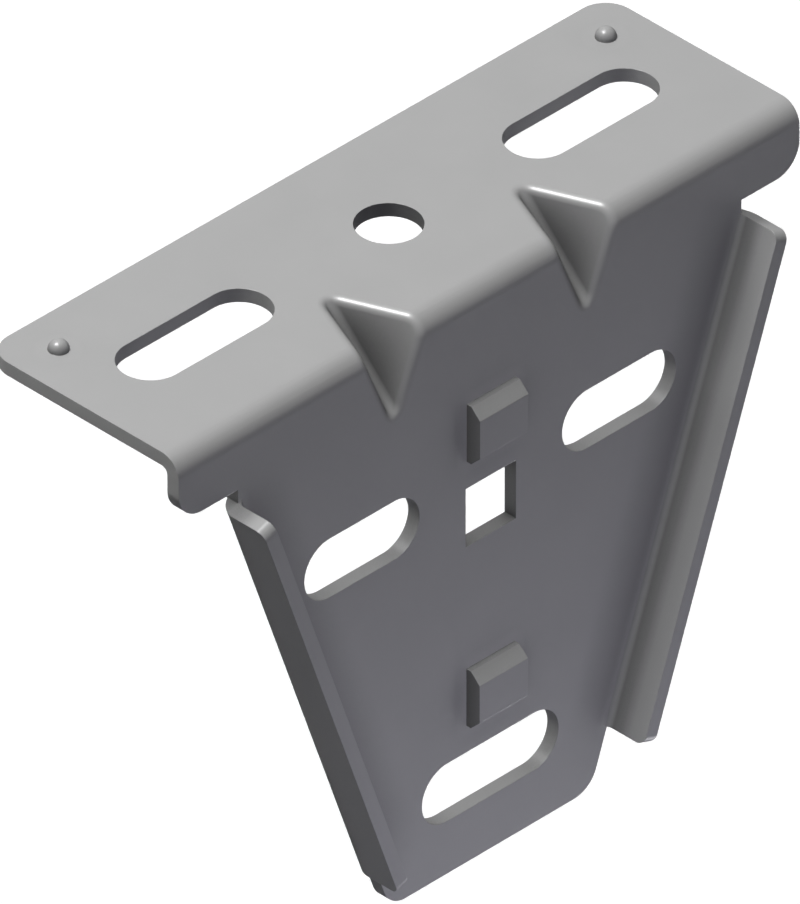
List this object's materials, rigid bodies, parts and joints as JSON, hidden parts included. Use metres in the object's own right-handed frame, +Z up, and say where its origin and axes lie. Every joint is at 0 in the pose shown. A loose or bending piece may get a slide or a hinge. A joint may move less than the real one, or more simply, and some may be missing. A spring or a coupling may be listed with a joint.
{
  "type": "starter bracket",
  "caption": "Folded sheet steel bracket: a wide slotted flange on a tapered web with side tabs, pressed lugs, darts and studs.",
  "frame": {"origin": "on the web's back face, on the centre line, 60 mm below the flange's top face", "axes": "+X across the bracket, +Y out of the web's back face towards the flange's free edge, +Z up"},
  "size_m": [0.135, 0.0502, 0.1089],
  "materials": {
    "galvanised_steel": "satin zinc coating"
  },
  "bodies": {
    "root": {"bracket": "galvanised_steel"}
  },
  "joints": []
}
